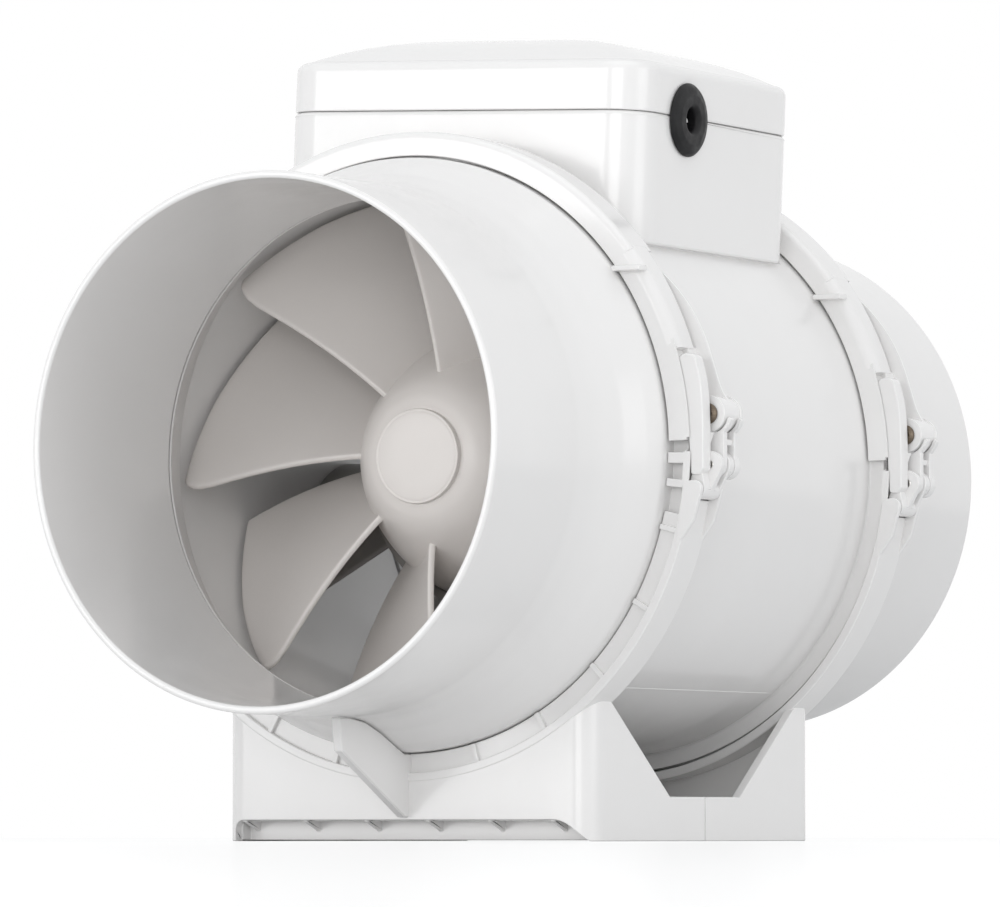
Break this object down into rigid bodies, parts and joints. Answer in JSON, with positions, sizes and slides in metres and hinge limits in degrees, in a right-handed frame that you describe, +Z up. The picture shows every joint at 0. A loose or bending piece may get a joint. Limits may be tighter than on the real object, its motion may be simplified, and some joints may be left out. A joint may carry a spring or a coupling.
{
  "type": "extractor fan",
  "caption": "Inline mixed-flow extractor fan with round duct spigots, a lift-out motor block with terminal box, clamp bands and a base.",
  "frame": {"origin": "middle of the base's underside, on the surface the fan stands on, under the middle of the duct axis", "axes": "+Y along the duct from inlet to outlet, +Z up, +X towards the clamp levers and the cable grommet"},
  "size_m": [0.217, 0.309, 0.2469],
  "materials": {
    "gloss_white": "glossy moulded white plastic",
    "satin_white": "satin moulded plastic, warm grey white",
    "black_rubber": "matt black moulded rubber",
    "grey_plastic": "fine matt grey plastic",
    "motor_grey": "dark grey painted steel",
    "copper_wire": "varnished copper winding",
    "zinc_steel": "zinc plated steel"
  },
  "bodies": {
    "base": {"inlet_spigot": "gloss_white", "outlet_spigot": "gloss_white", "inlet_base": "gloss_white", "outlet_base": "gloss_white", "inlet_seal": "black_rubber", "outlet_seal": "black_rubber", "base_screw_1": "zinc_steel", "base_screw_2": "zinc_steel", "front_hinge_pin": "zinc_steel", "front_lever_pin": "zinc_steel", "rear_hinge_pin": "zinc_steel", "rear_lever_pin": "zinc_steel"},
    "motor_block": {"motor_casing": "gloss_white", "terminal_lid": "gloss_white", "lid_screw_1": "zinc_steel", "lid_screw_2": "zinc_steel", "cable_grommet": "black_rubber", "terminal_block": "grey_plastic", "terminal_screw_1": "zinc_steel", "terminal_screw_2": "zinc_steel", "terminal_screw_3": "zinc_steel", "terminal_screw_4": "zinc_steel", "terminal_screw_5": "zinc_steel", "terminal_screw_6": "zinc_steel", "run_capacitor": "grey_plastic", "cable_clamp": "satin_white", "cable_saddle": "satin_white", "inlet_ring": "satin_white", "guide_vanes": "satin_white", "tail_plug": "satin_white", "motor_can": "motor_grey", "motor_end_cap": "motor_grey", "stator_core": "zinc_steel", "winding_front": "copper_wire", "winding_rear": "copper_wire", "bearing_front": "zinc_steel", "bearing_rear": "zinc_steel"},
    "impeller": {"impeller": "satin_white", "hub_cap": "satin_white", "impeller_nut": "zinc_steel", "shaft": "zinc_steel", "rotor_core": "zinc_steel"},
    "front_band": {"front_band": "gloss_white", "front_catch_screw": "zinc_steel"},
    "front_lever": {"front_lever": "gloss_white", "front_link_pin": "zinc_steel"},
    "front_link": {"front_link": "gloss_white"},
    "rear_band": {"rear_band": "gloss_white", "rear_catch_screw": "zinc_steel"},
    "rear_lever": {"rear_lever": "gloss_white", "rear_link_pin": "zinc_steel"},
    "rear_link": {"rear_link": "gloss_white"}
  },
  "joints": [
    {"name": "block_turn", "type": "hinge", "parent": "base", "child": "motor_block", "pos_m": [0, 0, 0.1157], "axis": [0, 1, 0], "range_deg": [-45, 45]},
    {"name": "impeller_spin", "type": "hinge", "parent": "motor_block", "child": "impeller", "pos_m": [0, 0, 0.1157], "axis": [0, 1, 0], "continuous": true},
    {"name": "front_band_open", "type": "hinge", "parent": "base", "child": "front_band", "pos_m": [-0.1055, -0.065, 0.1137], "axis": [0, -1, 0], "range_deg": [0, 70]},
    {"name": "front_lever_turn", "type": "hinge", "parent": "base", "child": "front_lever", "pos_m": [0.0982, -0.065, 0.1032], "axis": [0, 1, 0], "range_deg": [0, 110]},
    {"name": "front_link_turn", "type": "hinge", "parent": "front_lever", "child": "front_link", "pos_m": [0.1006, -0.065, 0.1105], "axis": [0, 1, 0], "range_deg": [-62, 0]},
    {"name": "rear_band_open", "type": "hinge", "parent": "base", "child": "rear_band", "pos_m": [-0.1055, 0.065, 0.1137], "axis": [0, -1, 0], "range_deg": [0, 70]},
    {"name": "rear_lever_turn", "type": "hinge", "parent": "base", "child": "rear_lever", "pos_m": [0.0982, 0.065, 0.1032], "axis": [0, 1, 0], "range_deg": [0, 110]},
    {"name": "rear_link_turn", "type": "hinge", "parent": "rear_lever", "child": "rear_link", "pos_m": [0.1006, 0.065, 0.1105], "axis": [0, 1, 0], "range_deg": [-62, 0]}
  ],
  "couplings": [
    {"joint": "front_link_turn", "follows": "front_lever_turn", "ratio": -0.55},
    {"joint": "rear_link_turn", "follows": "rear_lever_turn", "ratio": -0.55}
  ]
}
